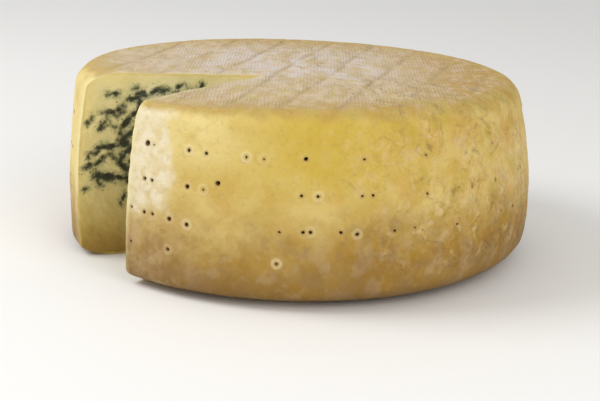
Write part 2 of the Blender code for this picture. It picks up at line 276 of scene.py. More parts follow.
class Section:
    """The wheel's outline at one heading."""

    def __init__(self, heading):
        toward = math.cos(math.radians(heading - LEAN_HEADING))
        left, right = settled(heading)
        self.taper = TAPER + LEAN_TAPER * toward
        self.bulge = BULGE + LEAN_BULGE * toward
        self.top_wide = TOP_EDGE_WIDE + LEAN_TOP_EDGE * toward + LEFT_EDGE_WIDER * left
        self.top_high = TOP_EDGE_HIGH + 0.5 * LEAN_TOP_EDGE * toward - LEFT_EDGE_LOWER * left
        self.foot_wide = FOOT_EDGE_WIDE + LEAN_FOOT_EDGE * toward
        self.foot_high = FOOT_EDGE_HIGH + 0.5 * LEAN_FOOT_EDGE * toward
        self.rise = LEFT_RISE * left - RIGHT_SINK * right
        self.wall_top = HEIGHT - self.top_high
        self.flat = self.wall(self.wall_top) - self.top_wide
        self.base = self.wall(self.foot_high) - self.foot_wide

    def wall(self, height):
        along = 2.0 * height / HEIGHT - 1.0
        return RADIUS - self.taper * along - self.bulge * along * along

    def point(self, zone, share):
        """(radius, height, how far the surface faces up) where share runs down each zone."""
        if zone == "top":
            return self.flat * share, HEIGHT + self.rise * share * share, 1.0
        if zone == "upper rim":
            turn = math.radians(90.0 * (1.0 - share))
            lift = (self.top_high + self.rise) * math.sin(turn)
            wide = self.top_wide - RIM_LEAN * lift
            return self.flat + wide * math.cos(turn), self.wall_top + lift, math.sin(turn)
        if zone == "side":
            height = self.wall_top + (self.foot_high - self.wall_top) * share
            return self.wall(height), height, 0.0
        if zone == "lower rim":
            turn = math.radians(90.0 * share)
            radius = self.base + self.foot_wide * math.cos(turn)
            return radius, self.foot_high * (1.0 - math.sin(turn)), -math.sin(turn)
        return self.base * (1.0 - share), 0.0, -1.0


def outline_places():
    places = [("top", 0.03 + 0.97 * row / 47.0) for row in range(48)]
    places += [("upper rim", row / 12.0) for row in range(1, 13)]
    places += [("side", row / 40.0) for row in range(1, 41)]
    places += [("lower rim", row / 9.0) for row in range(1, 10)]
    places += [("base", share) for share in (0.1, 0.35, 0.7)]
    return places


def leaned(place):
    up = place.z / HEIGHT
    moved = place + heading_vector(LEAN_HEADING) * (LEAN_SHIFT * up)
    moved.z += up * TILT * moved.dot(heading_vector(TILT_HEADING))
    return moved


def lattice_place(x, y, family):
    """Position across a family of lattice lines, in pitches: each line is at a whole number."""
    heading, pitch, shift, _ = LATTICE[family]
    across = heading_vector(heading + 90.0)
    drift = 0.0022 * noise.noise(Vector((x / 0.05, y / 0.05, 3.0 + family)))
    return (across.x * x + across.y * y + drift) / pitch - shift


def lattice_relief(x, y):
    relief = 0.0
    for family, (_, pitch, _, depth) in enumerate(LATTICE):
        at = lattice_place(x, y, family)
        off = abs(at - round(at)) * pitch
        strength = 0.55 + 0.45 * noise.noise(Vector((x / 0.04, y / 0.04, 9.0 + family)))
        relief -= depth * strength * bell(off, 0.0, LATTICE_HALF_WIDTH)
    return relief


def wrinkled(heading):
    """Where the side is mottled and wrinkled, from 0 to 1."""
    return max(bell_round(heading, 12.0, 34.0, 4), 0.8 * bell_round(heading, 150.0, 42.0, 4))


def side_relief(place, heading):
    relief = 0.00032 * noise.noise(place / 0.016) + 0.00016 * noise.noise(place / 0.006)
    ridge = 1.0 - abs(noise.noise(Vector((place.x, place.y, place.z * 1.5)) / 0.010))
    mottled = wrinkled(heading) * step(0.012, 0.03, place.z)
    relief += 0.0006 * mottled * (step(0.80, 1.0, ridge) - 0.25)
    return relief


def top_relief(place):
    fuzz = 0.00016 * noise.noise(place / 0.0042) + 0.0002 * noise.noise(place / 0.012)
    return lattice_relief(place.x, place.y) + fuzz


def wheel_point(section, heading, direction, zone, share):
    radius, height, facing = section.point(zone, share)
    place = leaned(direction * radius + Vector((0.0, 0.0, height)))
    if zone == "base" or height < 1e-6:
        return place
    ripple = UNEVEN * noise.noise(place / UNEVEN_SIZE)
    outward = Vector((0.0, 0.0, 0.7)) if zone == "top" else direction
    fade = min(1.0, height / 0.01)
    upness = max(0.0, facing)
    detail = upness * top_relief(place) * step(0.0, 0.02, section.flat + 0.010 - radius)
    detail += (1.0 - upness) * side_relief(place, heading)
    normal = direction * math.sqrt(max(0.0, 1.0 - facing * facing)) + Vector((0.0, 0.0, facing))
    return place + (outward * ripple + normal * detail) * fade


def add_object(name, data):
    made = bpy.data.objects.new(name, data)
    bpy.context.scene.collection.objects.link(made)
    return made


def mesh_object(name, points, faces):
    mesh = bpy.data.meshes.new(name)
    mesh.from_pydata(points, [], faces)
    return add_object(name, mesh)


def lofted_wheel(name):
    places = outline_places()
    points = []
    for index in range(SECTIONS):
        heading = 360.0 * index / SECTIONS
        section = Section(heading)
        direction = heading_vector(heading)
        points += [wheel_point(section, heading, direction, *place) for place in places]
    rows = len(places)
    middle_top = len(points)
    points.append(leaned(Vector((0.0, 0.0, HEIGHT))))
    points.append(Vector((0.0, 0.0, 0.0)))
    faces = []
    for index in range(SECTIONS):
        here = index * rows
        after = (index + 1) % SECTIONS * rows
        faces.append((middle_top, here, after))
        faces.append((middle_top + 1, after + rows - 1, here + rows - 1))
        for row in range(rows - 1):
            faces.append((here + row, here + row + 1, after + row + 1, after + row))
    return mesh_object(name, points, faces)


def gap_half_width(from_tip):
    return GAP_TIP_WIDTH / 2.0 + math.tan(math.radians(GAP_ANGLE / 2.0)) * from_tip


def crag(place, from_tip):
    fade = min(1.0, from_tip / 0.03)
    coarse = noise.noise(place / CRAG_SIZE)
    fine = noise.noise(place / (0.4 * CRAG_SIZE))
    return CRAG * fade * (coarse + 0.5 * fine)


def sketch_to_face(x, y):
    """(millimetres from the tip, millimetres below the top) of a point of the sketch."""
    ax, ay = SKETCH_TO_RIM
    bx, by = SKETCH_TO_BASE
    dx, dy = x - SKETCH_CORNER[0], y - SKETCH_CORNER[1]
    area = ax * by - ay * bx
    along = (dx * by - dy * bx) / area
    down = (ax * dy - ay * dx) / area
    return 1000.0 * FACE_LENGTH * along, 1000.0 * HEIGHT * down


def stroke_points(stroke):
    """The points (x, y) of a stroke that is given as its half width and then x, y, x, y and so on."""
    return list(zip(stroke[1::2], stroke[2::2]))


def stroke_segments(points, half_width):
    return [(*start, *end, half_width) for start, end in zip(points, points[1:])]


def face_strokes(strokes, side):
    """Segments (x0, y0, x1, y1, half width) on a cut face. The right face's differ from the left's."""
    draw = random.Random(23)
    segments = []
    for stroke in strokes:
        places = [sketch_to_face(x, y) for x, y in stroke_points(stroke)]
        if side > 0.0:
            slide = draw.uniform(-5.0, 5.0)
            drop = draw.uniform(-2.0, 6.0)
            places = [
                (along + slide, 0.95 * down + drop + 4.0 * math.sin(along / 17.0))
                for along, down in places
            ]
            if draw.random() < LEFT_OUT:
                continue
        elif places[0][0] > NEAR_RIM:
            continue
        segments += stroke_segments(places, stroke[0])
    if side < 0.0 and strokes is VEINS:
        for stroke in RIM_VEINS:
            segments += stroke_segments(stroke_points(stroke), stroke[0])
    return np.array(segments)


def stroke_distance(along, down, segments):
    """Millimetres from each place to the nearest stroke's edge, below 0 inside it."""
    nearest = np.full(along.shape, FAR)
    for x0, y0, x1, y1, half_width in segments:
        dx, dy = x1 - x0, y1 - y0
        share = ((along - x0) * dx + (down - y0) * dy) / max(dx * dx + dy * dy, 1e-9)
        share = np.clip(share, 0.0, 1.0)
        away = np.hypot(along - x0 - share * dx, down - y0 - share * dy) - half_width
        nearest = np.minimum(nearest, away)
    return nearest


def face_relief(seat, from_tip, hollow):
    """How far a cut face's point stands out into the wedge or, below 0, into the wheel."""
    rough = noise.noise(seat / 0.0022) * noise.noise(seat / 0.009)
    open_share = 0.55 + 0.9 * noise.noise(seat / 0.004)
    fine = 0.00022 * noise.noise(seat / 0.0026) + 0.0005 * rough
    return crag(seat, from_tip) + fine + hollow * open_share


def gap_cutter():
    """The wedge that was taken out, its long sides crumbly and hollowed along the veins."""
    height = HEIGHT + 2.0 * MARGIN
    columns = int(GAP_REACH / GAP_GRID)
    rows = int(height / GAP_GRID)
    points = []
    for side in (-1.0, 1.0):
        from_tips = np.repeat(np.arange(columns + 1) / columns * GAP_REACH, rows + 1)
        levels = np.tile(np.arange(rows + 1) / rows * height - MARGIN, columns + 1)
        down = 1000.0 * (HEIGHT - levels)
        away = stroke_distance(1000.0 * from_tips, down, face_strokes(VEINS, side))
        hollows = HOLLOW_DEPTH * np.clip(HOLLOW_AT_EDGE - away / HOLLOW_SLOPE, 0.0, 1.0)
        for from_tip, level, hollow in zip(from_tips, levels, hollows):
            seat = Vector((side * gap_half_width(from_tip), -from_tip, level))
            stand = face_relief(seat, from_tip, hollow)
            seat.x += side * stand * min(1.0, from_tip / TIP_FADE)
            seat += Vector((*GAP_TIP, 0.0))
            points.append(seat + heading_vector(LEAN_HEADING) * (LEAN_SHIFT * level / HEIGHT))
    beside = rows + 1
    offset = (columns + 1) * beside
    faces = []
    for column in range(columns):
        for corner in range(column * beside, column * beside + rows):
            along = corner + beside
            faces.append((corner, corner + 1, along + 1, along))
            faces.append((offset + corner, offset + along, offset + along + 1, offset + corner + 1))
    for column in range(columns):
        low = column * beside
        high = low + rows
        faces.append((low, low + beside, offset + low + beside, offset + low))
        faces.append((high, offset + high, offset + high + beside, high + beside))
    for row in range(rows):
        end = columns * beside + row
        faces.append((row, offset + row, offset + row + 1, row + 1))
        faces.append((end, end + 1, offset + end + 1, offset + end))
    cutter = mesh_object("gap_cutter", points, faces)
    edit_faces(cutter.data, bmesh.ops.recalc_face_normals)
    return cutter


def edit_faces(mesh, operation, **options):
    """Runs a mesh operation over all of a mesh's faces."""
    shape = bmesh.new()
    shape.from_mesh(mesh)
    operation(shape, faces=shape.faces[:], **options)
    shape.to_mesh(mesh)
    shape.free()


def needle_holes():
    """(level, heading, open, ring) of each needle hole."""
    draw = random.Random(5)
    look = random.Random(17)
    holes = [(level / 1000.0, heading, wide, ring) for level, heading, wide, ring in SEEN_HOLES]
    for level, paired, single in ROWS:
        for column in range(COLUMNS):
            middle = FIRST_COLUMN + COLUMN_PITCH * column
            spread = draw.uniform(*PAIR_SPREAD)
            offsets = [-spread / 2.0, spread / 2.0] if paired else []
            if single:
                offsets.append(SINGLE_OFFSET)
            for offset in offsets:
                heading = middle + offset + draw.uniform(-0.4, 0.4)
                lift = draw.uniform(-0.0009, 0.0009)
                healed = HEALED_WRINKLED if wrinkled(heading) > 0.5 else HEALED
                if draw.random() > healed and heading < 360.0 + LAST_HEADING:
                    ring = look.random() if look.random() < 0.45 else 0.1
                    closed = wrinkled(heading)
                    wide = look.uniform(0.55, 1.0) * (1.0 - 0.4 * closed)
                    holes.append((level + lift, heading, wide, ring * (1.0 - 0.8 * closed)))
    return holes


def hole_mouth(level, heading):
    out = heading_vector(heading)
    return leaned(out * Section(heading).wall(level) + Vector((0.0, 0.0, level)))


def hole_cutter():
    """All the needle holes' blunt, slightly crooked cones as one mesh."""
    draw = random.Random(8)
    upward = Vector((0.0, 0.0, 1.0))
    points = []
    faces = []
    for level, heading, wide_open, _ in needle_holes():
        out = heading_vector(heading)
        mouth = hole_mouth(level, heading)
        size = HOLE_RADIUS * wide_open * draw.uniform(0.9, 1.1)
        side = upward.cross(out)
        start = len(points)
        for reach, wide in HOLE_RINGS:
            for corner in range(HOLE_SIDES):
                turn = 2.0 * math.pi * corner / HOLE_SIDES
                wobble = size * wide * (1.0 + 0.18 * math.sin(2.0 * turn + heading))
                around = side * math.cos(turn) + upward * math.sin(turn)
                points.append(mouth + out * reach + around * wobble)
        last = start + (len(HOLE_RINGS) - 1) * HOLE_SIDES
        for ring in range(start, last, HOLE_SIDES):
            for corner in range(HOLE_SIDES):
                here = ring + corner
                beside = ring + (corner + 1) % HOLE_SIDES
                faces.append((here, here + HOLE_SIDES, beside + HOLE_SIDES, beside))
        faces.append(tuple(range(start, start + HOLE_SIDES)))
        faces.append(tuple(range(last + HOLE_SIDES - 1, last - 1, -1)))
    cutter = mesh_object("hole_cutter", points, faces)
    edit_faces(cutter.data, bmesh.ops.recalc_face_normals)
    return cutter


def cut(obj, cutter):
    modifier = obj.modifiers.new(cutter.name, "BOOLEAN")
    modifier.operation = "DIFFERENCE"
    modifier.object = cutter
    modifier.solver = "MANIFOLD"
    bpy.context.view_layer.update()
    graph = bpy.context.evaluated_depsgraph_get()
    mesh = bpy.data.meshes.new_from_object(obj.evaluated_get(graph))
    old = obj.data
    obj.modifiers.clear()
    obj.data = mesh
    mesh.name = obj.name
    bpy.data.meshes.remove(old)
    bpy.data.objects.remove(cutter, do_unlink=True)


def unleaned(place):
    """The upright place of a point of the leaning wheel."""
    moved = place - heading_vector(LEAN_HEADING) * (LEAN_SHIFT * (place.z / HEIGHT))
    moved.z = place.z / (1.0 + TILT * place.dot(heading_vector(TILT_HEADING)) / HEIGHT)
    return moved


def read_all(items, name, width, kind=np.float32):
    """One property of all of a mesh's items, as a table with a row for each."""
    values = np.empty(len(items) * width, dtype=kind)
    items.foreach_get(name, values)
    return values.reshape(-1, width)


def set_attribute(mesh, name, values, domain="POINT"):
    attribute = mesh.attributes.new(name, "FLOAT", domain)
    attribute.data.foreach_set("value", np.asarray(values, dtype=np.float32))


def inside_border(section, radius, height):
    """Millimetres inward over the surface from the line on the upper rim where the top's rind ends."""
    arc = 0.5 * math.pi * math.sqrt((section.top_wide ** 2 + section.top_high ** 2) / 2.0)
    if radius < section.flat:
        return 1000.0 * (TOP_BORDER * arc + section.flat - radius)
    if height < section.wall_top:
        return 1000.0 * ((TOP_BORDER - 1.0) * arc + height - section.wall_top)
    up = (height - section.wall_top) / (section.top_high + section.rise)
    turn = math.atan2(up, (radius - section.flat) / section.top_wide)
    return 1000.0 * arc * (TOP_BORDER - 1.0 + turn / (0.5 * math.pi))


def place_values(place):
    """What the materials read at a place of the surface, with lengths in millimetres."""
    upright = unleaned(place)
    heading = math.degrees(math.atan2(upright.y, upright.x)) % 360.0
    radius = math.hypot(upright.x, upright.y)
    level = 1000.0 * upright.z
    drift = 9.0 * noise.noise(place / 0.03) + 4.0 * noise.noise(place / 0.011)
    section = Section(heading)
    inset = inside_border(section, radius, upright.z)
    top = HEIGHT + section.rise * min(1.0, radius / section.flat) ** 2
    inward = 1000.0 * (section.wall(upright.z) - radius)

    # Left to right and near to far over the top, as someone to the right of the gap sees it
    turn = math.radians(LEAN_HEADING)
    across = 1000.0 * (place.x * math.cos(turn) + place.y * math.sin(turn))
    away = 1000.0 * (place.y * math.cos(turn) - place.x * math.sin(turn))
    lilac = bell(across, -8.0, 72.0, 4) * bell(away, 22.0, 66.0, 4)
    lilac = max(lilac, 0.45 * bell(across, -80.0, 40.0) * bell(away, 10.0, 60.0))
    brown = max(step(42.0, 105.0, across), 0.8 * step(78.0, 125.0, away))
    brown = max(brown, bell_round(heading, 340.0, 48.0, 4) * step(44.0, 14.0, inset))

    bloom = bell_round(heading + 0.6 * drift, 288.4, 6.2, 4) * step(33.0, 58.0, level + 0.9 * drift)
    for strength, centre, wide, middle, high in MOULD_PATCHES:
        around = bell_round(heading + drift, centre, wide, 4)
        bloom = max(bloom, strength * around * bell(level + drift, middle, high, 4))
    pale = bell_round(heading, 301.0, 13.0) * step(66.0, 88.0, level)
    # Painted light: the wall left of the gap is made pale as if lit from the left
    pale = max(pale, bell_round(heading, 252.0, 13.0, 4))
    gold = 0.0
    for strength, centre, wide, low, high in GOLDEN_PARTS:
        gold = max(gold, strength * bell_round(heading, centre, wide) * step(low, high, level))
    rose = 0.0
    for strength, centre, wide, low, high in ROSY_PARTS:
        around = bell_round(heading, centre, wide, 4)
        rose = max(rose, strength * around * (1.0 - step(low, high, level)))
    return {
        "inset": inset, "level": level, "lilac": lilac, "brown": brown,
        "bloom": bloom, "pale": pale, "gold": gold, "rose": rose,
        "wrinkle": wrinkled(heading) * step(12.0, 30.0, level),
        "depth": min(inward, 1000.0 * (top - upright.z), level),
        "lattice_0": lattice_place(place.x, place.y, 0),
        "lattice_1": lattice_place(place.x, place.y, 1),
    }


def add_place_attributes(mesh):
    table = [place_values(vertex.co) for vertex in mesh.vertices]
    for name in table[0]:
        set_attribute(mesh, name, [row[name] for row in table])


def add_hole_attribute(mesh):
    """On each face's corners, the way to the needle hole that is nearest to the face."""
    holes = needle_holes()
    mouths = np.array([hole_mouth(hole[0], hole[1]) for hole in holes])
    outs = np.array([heading_vector(hole[1]) for hole in holes])
    count = len(mesh.polygons)
    centres = read_all(mesh.polygons, "center", 3)
    nearest = np.zeros(count, dtype=int)
    for start in range(0, count, BLOCK):
        gaps = ((centres[start : start + BLOCK, None, :] - mouths[None, :, :]) ** 2).sum(axis=2)
        nearest[start : start + BLOCK] = gaps.argmin(axis=1)
    owners = np.repeat(np.arange(count), read_all(mesh.polygons, "loop_total", 1, np.int32)[:, 0])
    corner_vertices = read_all(mesh.loops, "vertex_index", 1, np.int32)[:, 0]
    places = read_all(mesh.vertices, "co", 3)[corner_vertices]
    chosen = nearest[owners]
    offsets = (places - mouths[chosen]) * 1000.0
    outward = outs[chosen]
    offsets -= outward * np.minimum((offsets * outward).sum(axis=1), 1.0)[:, None]
    attribute = mesh.attributes.new("to_hole", "FLOAT_VECTOR", "CORNER")
    attribute.data.foreach_set("vector", offsets.astype(np.float32).ravel())
    looks = np.array([hole[2:] for hole in holes])[chosen]
    set_attribute(mesh, "hole_open", looks[:, 0], "CORNER")
    set_attribute(mesh, "hole_ring", looks[:, 1], "CORNER")


def face_place(place):
    """(side, millimetres from the tip, millimetres below the top, off the cut plane) of a point."""
    upright = place - heading_vector(LEAN_HEADING) * (LEAN_SHIFT * place.z / HEIGHT)
    x = upright.x - GAP_TIP[0]
    from_tip = GAP_TIP[1] - upright.y
    side = -1.0 if x < 0.0 else 1.0
    off = abs(x) - gap_half_width(max(0.0, from_tip))
    return side, 1000.0 * from_tip, 1000.0 * (HEIGHT - place.z), off


def add_paste_attributes(mesh):
    """How far each point lies from the veins, the slits, the tip and the cut, in millimetres."""
    sides, from_tips, downs, offs = np.array([face_place(vertex.co) for vertex in mesh.vertices]).T
    veins = np.full(len(sides), FAR)
    slits = np.full(len(sides), FAR)
    near = (np.abs(offs) < FACE_NEAR) & (from_tips > -4.0)
    for side in (-1.0, 1.0):
        chosen = near & (sides == side)
        along, down = from_tips[chosen], downs[chosen]
        veins[chosen] = stroke_distance(along, down, face_strokes(VEINS, side))
        slits[chosen] = stroke_distance(along, down, face_strokes(SLITS, side))
    set_attribute(mesh, "vein", veins)
    set_attribute(mesh, "slit", slits)
    set_attribute(mesh, "from_tip", from_tips)
    # For the painted light along the cut: distance from the cut plane, narrower on the right
    behind = np.where(from_tips < -2.0, FAR, 0.0)
    narrowed = np.where(sides < 0.0, 1.0, RIGHT_EDGE_NARROWER)
    set_attribute(mesh, "lit_cut_edge", np.minimum(FAR, 1000.0 * narrowed * np.abs(offs) + behind))


def mark_paste(mesh):
    """Gives the cut faces the second material and all others the first."""
    slope = math.radians(GAP_ANGLE / 2.0)
    for polygon in mesh.polygons:
        side, from_tip, _, off = face_place(polygon.center)
        near = from_tip >= -3.0 and abs(off) <= FACE_DEPTH
        facing = polygon.normal.dot(Vector((-side * math.cos(slope), -math.sin(slope), 0.0)))
        at_tip = from_tip < 1.0 and polygon.normal.y < -0.5
        polygon.material_index = int(near and (facing > 0.45 or at_tip))


def srgb(red, green, blue):
    """Linear colour of an sRGB colour given from 0 to 255."""
    def linear(value):
        value /= 255.0
        return value / 12.92 if value <= 0.04045 else ((value + 0.055) / 1.055) ** 2.4
    return (linear(red), linear(green), linear(blue), 1.0)


TOP_TAN = srgb(206, 186, 150)
TOP_TAN_DEEP = srgb(190, 164, 118)
TOP_BROWN = srgb(183, 147, 76)
TOP_LILAC = srgb(212, 202, 196)
TOP_PINK = srgb(212, 182, 154)
TOP_OLIVE = srgb(190, 170, 94)
TOP_LINE = srgb(164, 138, 94)
TOP_BAND = srgb(190, 157, 70)
TOP_DUST = srgb(222, 212, 192)
TOP_SPECK = srgb(146, 120, 82)
SIDE_OCHRE = srgb(206, 177, 96)
SIDE_YELLOW = srgb(216, 190, 116)
SIDE_DEEP = srgb(196, 160, 80)
SIDE_GOLD = srgb(204, 173, 58)
SIDE_PALE_AND_LIT = srgb(232, 212, 142)
SIDE_ORANGE = srgb(208, 160, 84)
SIDE_OLIVE = srgb(188, 160, 56)
SIDE_ROSE = srgb(188, 162, 122)
SIDE_LOW_SHADE = srgb(148, 110, 38)
SIDE_UMBER = srgb(162, 118, 18)
SIDE_FOOT_SHADE = srgb(120, 90, 46)
SIDE_BLOTCH = srgb(146, 112, 68)
SIDE_BLUSH = srgb(216, 184, 142)
SIDE_CURL = srgb(226, 200, 146)
SIDE_TROUGH_SHADE = srgb(128, 102, 54)
SIDE_BLOOM = srgb(232, 219, 186)
CUT_EDGE_LIGHT = srgb(234, 222, 168)
HOLE_RING = srgb(232, 214, 164)
HOLE_SHADE = srgb(156, 122, 78)
HOLE_PIT_SHADE = srgb(52, 42, 28)
PASTE_IVORY = srgb(230, 222, 184)
PASTE_GREEN = srgb(220, 216, 180)
PASTE_LIGHT = srgb(240, 233, 204)
PASTE_FAR_SHADE = srgb(228, 208, 138)
PASTE_TINT = srgb(186, 182, 122)
PASTE_LOW_SHADE = srgb(186, 158, 76)
PASTE_EDGE = srgb(232, 212, 136)
PASTE_FOOT_SHADE = srgb(146, 112, 36)
PASTE_RIND = srgb(222, 194, 114)
VEIN_HALO = srgb(126, 128, 84)
VEIN_DARK = srgb(34, 38, 28)
VEIN_BLUE = srgb(66, 76, 70)
VEIN_OLIVE = srgb(52, 56, 36)
SLIT_OLIVE = srgb(118, 102, 42)
FLOOR_GREY = srgb(240, 239, 236)
FLOOR_LIGHT = srgb(243, 242, 240)


EVEN = (1.0, 1.0, 1.0)
RIB_HEADING = 146.0
RIBBED = ((2.3, 1.0, 1.0), (0.0, RIB_HEADING))  # the top's mottling is drawn out along the ribs
BUMP_HEIGHT = 0.0009


class Field:
    """A value that varies over a material. Arithmetic with it adds nodes to the material."""

    def __init__(self, graph, socket):
        self.graph = graph
        self.socket = socket

    def __add__(self, other):
        return self.graph.math("ADD", self, other)

    def __sub__(self, other):
        return self.graph.math("SUBTRACT", self, other)

    def __mul__(self, other):
        return self.graph.math("MULTIPLY", self, other)

    def ramp(self, low, high, start=0.0, end=1.0):
        """A smooth rise from start to end while the value goes from low to high."""
        node = self.graph.nodes.new("ShaderNodeMapRange")
        node.interpolation_type = "SMOOTHSTEP"
        return self.graph.output(node, "Result", dict(enumerate((self, low, high, start, end))))

    def lay(self, share, over):
        """The colour with a share of another one over it."""
        return self.graph.mix(share, self, over)

    def sway(self, grain, amount):
        """The value moved up and down by a grain."""
        return self + (grain - 0.5) * amount


class Graph:
    """A material and short ways to make its nodes."""

    def __init__(self, name):
        self.material = bpy.data.materials.new(name)
        self.material.use_nodes = True
        self.nodes = self.material.node_tree.nodes
        self.place = self.output(self.nodes.new("ShaderNodeTexCoord"), "Object", {})

    def output(self, node, output, inputs):
        """What a node puts out once its inputs, given by name or number, have their values."""
        for key, value in inputs.items():
            if isinstance(value, Field):
                self.material.node_tree.links.new(value.socket, node.inputs[key])
            else:
                node.inputs[key].default_value = value
        return Field(self, node.outputs[output])

    def math(self, operation, *values):
        node = self.nodes.new("ShaderNodeMath")
        node.operation = operation
        return self.output(node, 0, dict(enumerate(values)))

    def measure(self, operation, *vectors):
        node = self.nodes.new("ShaderNodeVectorMath")
        node.operation = operation
        return self.output(node, "Value", dict(enumerate(vectors)))

    def mix(self, share, under, over):
        """The colour under with a share of the colour over it."""
        node = self.nodes.new("ShaderNodeMix")
        node.data_type = "RGBA"
        return self.output(node, 2, {0: share, 6: under, 7: over})

    def noise(self, size, detail=2.0, shift=0.0, stretch=EVEN, turn=(0.0, 0.0), twist=0.0, rough=0.5):
        """Noise at a shifted place, stretched along axes that are turned about X and about Z."""
        mapping = self.nodes.new("ShaderNodeMapping")
        mapping.vector_type = "TEXTURE"
        place = self.output(mapping, "Vector", {
            "Vector": self.place,
            "Location": (shift, -shift, 0.5 * shift),
            "Rotation": (math.radians(turn[0]), 0.0, math.radians(turn[1])),
            "Scale": stretch,
        })
        return self.output(self.nodes.new("ShaderNodeTexNoise"), "Fac", {
            "Vector": place, "Scale": 1.0 / size, "Detail": detail, "Roughness": rough,
            "Distortion": twist,
        })

    def patches(self, size, shift, low, high, share, detail=4.0, drawn=()):
        """Patches where a noise is high, as strong as the share."""
        return self.noise(size, detail, shift, *drawn).ramp(low, high) * share

    def read(self, name, output="Fac"):
        """One of the mesh's attributes."""
        node = self.nodes.new("ShaderNodeAttribute")
        node.attribute_name = name
        return self.output(node, output, {})

    def bump(self, height, strength):
        inputs = {"Strength": strength, "Distance": BUMP_HEIGHT, "Height": height}
        return self.output(self.nodes.new("ShaderNodeBump"), "Normal", inputs)

    def shaded(self, inputs):
        """The material once its shader's inputs have their values."""
        self.output(self.nodes["Principled BSDF"], "BSDF", inputs)
        return self.material


def line_mask(graph, name, half_width):
    """1 on a lattice line and 0 away from it; the half width is in pitches."""
    place = graph.read(name)
    off = graph.math("ABSOLUTE", place - graph.math("ROUND", place))
    return off.sway(graph.noise(0.005, 4.0, 0.3), 0.09).ramp(half_width, 0.0)


def top_colour(graph, middle, dust, ribs):
    """Tan ground, lilac-grey cushions between darker lines, browner to the right and at the rim."""
    inset = graph.read("inset")
    deeper = graph.patches(0.0070, 23.1, 0.38, 0.62, 1.0, drawn=RIBBED)
    ground = graph.mix(deeper, TOP_TAN, TOP_TAN_DEEP)
    browner = graph.read("brown") * middle.ramp(0.1, 0.6)
    ground = ground.lay(browner, TOP_BROWN)
    cushions = graph.noise(0.014, 4.0, 6.3, *RIBBED).sway(middle, 0.7)
    cushions = cushions.ramp(0.28, 0.66) * graph.read("lilac")
    colour = ground.lay(cushions * 0.92, TOP_LILAC)
    for size, shift, low, high, tint in (
        (0.0052, 11.3, 0.50, 0.66, TOP_PINK),
        (0.0060, 12.9, 0.52, 0.68, TOP_OLIVE),
    ):
        colour = colour.lay(graph.patches(size, shift, low, high, 0.60, drawn=RIBBED), tint)
    first = line_mask(graph, "lattice_0", 0.105) * graph.noise(0.030, 2.0, 2.4).ramp(0.36, 0.56)
    second = line_mask(graph, "lattice_1", 0.090) * graph.noise(0.028, 2.0, 5.4).ramp(0.42, 0.62)
    lines = graph.math("MAXIMUM", first, second * 0.5)
    colour = colour.lay(lines * 0.55, TOP_LINE)
    colour = colour.lay(ribs.ramp(0.1, 1.0) * 0.24, TOP_DUST)
    colour = colour.lay(ribs.ramp(-0.1, -1.0) * 0.26, TOP_LINE)
    band = inset.sway(middle, 24.0).ramp(18.0, 2.0)
    colour = colour.lay(band * 0.70, TOP_BAND)
    stained = graph.patches(0.012, 35.3, 0.48, 0.64, 0.50) * inset.ramp(36.0, 12.0)
    colour = colour.lay(stained, TOP_OLIVE)
    dusted = dust.ramp(0.50, 0.70) * inset.ramp(3.0, 16.0, 0.05, 0.28)
    colour = colour.lay(dusted, TOP_DUST)
    specks = graph.patches(0.0017, 7.7, 0.57, 0.70, 0.30, 3.0)
    return colour.lay(specks, TOP_SPECK), lines


def side_colour(graph, fine, middle, broad):
    """Ochre in clouds, golden or pale under the rim, and darker and browner towards the foot: painted
    shade over a rind that browns there.
    """
    colour = graph.mix(broad.ramp(0.35, 0.65), SIDE_OCHRE, SIDE_YELLOW)
    colour = colour.lay(middle.ramp(0.42, 0.66) * 0.6, SIDE_DEEP)
    gold = graph.read("gold") * middle.ramp(0.05, 0.5)
    colour = colour.lay(gold * 0.85, SIDE_GOLD)
    # Pale under the rim, and painted light on the wall left of the gap
    pale = graph.read("pale") * middle.ramp(0.15, 0.6)
    colour = colour.lay(pale * 0.85, SIDE_PALE_AND_LIT)

    wrinkle = graph.read("wrinkle")
    for size, shift, low, high, share, tint in (
        (0.022, 29.3, 0.46, 0.62, 0.16, SIDE_DEEP),
        (0.017, 14.1, 0.44, 0.64, 0.36, SIDE_ORANGE),
        (0.014, 15.7, 0.48, 0.66, 0.60, SIDE_OLIVE),
        (0.014, 21.7, 0.54, 0.70, 0.45, SIDE_BLUSH),
    ):
        colour = colour.lay(graph.patches(size, shift, low, high, share) * wrinkle, tint)

    level = graph.read("level").sway(broad, 30.0).sway(middle, 16.0) - wrinkle * 9.0
    rose = graph.read("rose") * middle.sway(fine, 0.6).ramp(0.25, 0.7)
    # Painted shade towards the foot, deeper where the side is wrinkled, over a rind that browns there
    low = level.ramp(60.0, 12.0)
    colour = colour.lay(low * 0.84, SIDE_LOW_SHADE)
    colour = colour.lay(low * wrinkle * 0.45, SIDE_UMBER)
    colour = colour.lay(rose * 0.62, SIDE_ROSE)
    golden = graph.patches(0.015, 31.7, 0.46, 0.62, 0.60) * low
    colour = colour.lay(golden * rose.ramp(0.0, 0.8, 1.0, 0.0), SIDE_UMBER)
    dusky = graph.patches(0.012, 33.1, 0.50, 0.64, 0.45) * low
    colour = colour.lay(dusky, SIDE_ROSE)
    # More painted shade at the very foot, less under the rosy part
    foot = level.ramp(30.0, 0.0) * rose.ramp(0.0, 1.0, 0.80, 0.50)
    colour = colour.lay(foot, SIDE_FOOT_SHADE)
    blotch = graph.patches(0.011, 16.9, 0.50, 0.66, 0.5, 5.0) * level.ramp(66.0, 20.0)
    return colour.lay(blotch, SIDE_BLOTCH)


